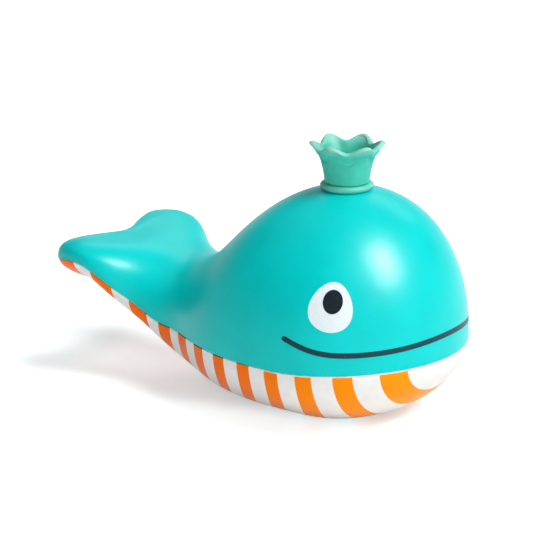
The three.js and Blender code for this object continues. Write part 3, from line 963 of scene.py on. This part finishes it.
floor_radius, low_wall, backdrop_height = 5.0, 0.8, 1.3
floor_sides, cove_rows = 96, 9
backdrop_turn = math.radians(125)
turns = np.linspace(0, 2 * math.pi, floor_sides, endpoint=False)[:, None]
wall_tops = low_wall + (backdrop_height - low_wall) * smooth(0.5 + np.cos(turns - backdrop_turn))
cove = np.linspace(0, math.pi / 2, cove_rows)
reach = np.concatenate([[0], floor_radius - low_wall + low_wall * np.sin(cove), [floor_radius]])
rise = np.concatenate([[0], low_wall - low_wall * np.cos(cove), [low_wall]])
rise = np.where(np.arange(len(rise)) == len(rise) - 1, wall_tops, rise)
floor = stitched("floor_and_backdrop", np.stack(
    [reach * np.cos(turns), reach * np.sin(turns), rise], axis=-1) / MM, closed=False)

# The floor's own glow is only for what looks at it. It is white far off. Round the whale it is stronger on
# the near side, painted light that lifts the whale's shadow there, and weaker on the far side, painted shade
# that deepens the shadow there. Near the whale the glow is tinted cool, painted so that the shadow's warm
# bounce reads grey.
floor_white = (0.91, 0.93, 0.935, 1)
near_glow, far_glow = (0.86, 0.98, 1, 1), (1, 1, 1, 1)
glow, far_gain, front_painted_light, behind_painted_shade = 0.48, 0.45, 0.26, 0.12
far_run, front_run, behind_run, behind_reach = (0.6, 2.4), (0.018, 0.04), (0.02, 0.055), (0.13, 0.25)
front_skew = 0.3
floor_paint = bpy.data.materials.new("floor_white")
floor_paint.use_nodes = True
tree = floor_paint.node_tree
tree.nodes.remove(tree.nodes["Principled BSDF"])
watched = Value.make(tree, "ShaderNodeLightPath", output="Is Camera Ray")
seen = watched
for kind in ("Is Glossy Ray", "Is Transmission Ray"):
    seen = seen.math("MAXIMUM", watched.also(kind))
place = Value.make(tree, "ShaderNodeTexCoord", output="Object")
spread = Value.make(tree, "ShaderNodeVectorMath", {"operation": "LENGTH"}, {0: place}, output="Value")
spot = apart(place)
ahead = front_skew * spot - spot.also("Y")
far = spread.step(*far_run)
behind = (ahead * -1).step(*behind_run) * (1 - spread.step(*behind_reach))
# Painted light in front of the whale and painted shade behind it, in the floor's glow.
gain = far * far_gain + ahead.step(*front_run) * front_painted_light - behind * behind_painted_shade
matte = Value.make(tree, "ShaderNodeBsdfDiffuse", inputs={"Color": floor_white})
bright = Value.make(tree, "ShaderNodeEmission", inputs={
    "Color": far.between(near_glow, far_glow), "Strength": seen * glow + watched * gain})
lit = Value.make(tree, "ShaderNodeAddShader", inputs={0: matte, 1: bright})
tree.links.new(lit.socket, tree.nodes["Material Output"].inputs["Surface"])
floor.data.materials.append(floor_paint)
floor.data.shade_smooth()

lamp_target, lamp_distance = Vector((0.02, 0, 0.05)), 3.0


def soft_lamp(name, turn, tilt, width, height, watts):
    """A lamp panel that looks at the whale from that turn and tilt in degrees."""
    lamp = bpy.data.lights.new(name, "AREA")
    lamp.shape = "RECTANGLE"
    lamp.size, lamp.size_y = width, height
    lamp.energy = watts
    made = placed(name, lamp)
    away = direction(math.radians(turn), math.radians(tilt))
    made.location = lamp_target + away * lamp_distance
    made.rotation_mode = "QUATERNION"
    made.rotation_quaternion = away.to_track_quat("Z", "Y")
    return made


soft_lamp("key_lamp", 10, 56, 1.4, 2.0, 91.0).visible_glossy = False
soft_lamp("front_lamp", -45, 11, 2.0, 1.0, 27.0).visible_glossy = False
soft_lamp("back_lamp", 170, 62, 2.5, 2.5, 15.0).visible_glossy = False
soft_lamp("rim_lamp", 106, 36, 2.6, 0.9, 14.0)
soft_lamp("gloss_lamp", 0, 43, 1.0, 1.6, 330.0).visible_diffuse = False

view_turn, view_tilt = math.radians(35), math.radians(16.54)
view_middle, view_distance = Vector((2.24, 0, 49.3)) * MM, 1.050
focal_pixels, image_pixels, sensor_width = 2552.04, 550, 36.0
eye_line = direction(view_turn - math.pi / 2, view_tilt)
camera = placed("camera", bpy.data.cameras.new("camera"))
camera.data.sensor_width = sensor_width
camera.data.lens = focal_pixels * sensor_width / image_pixels
camera.location = view_middle + eye_line * view_distance
camera.rotation_mode = "QUATERNION"
camera.rotation_quaternion = eye_line.to_track_quat("Z", "Y")
scene.camera = camera
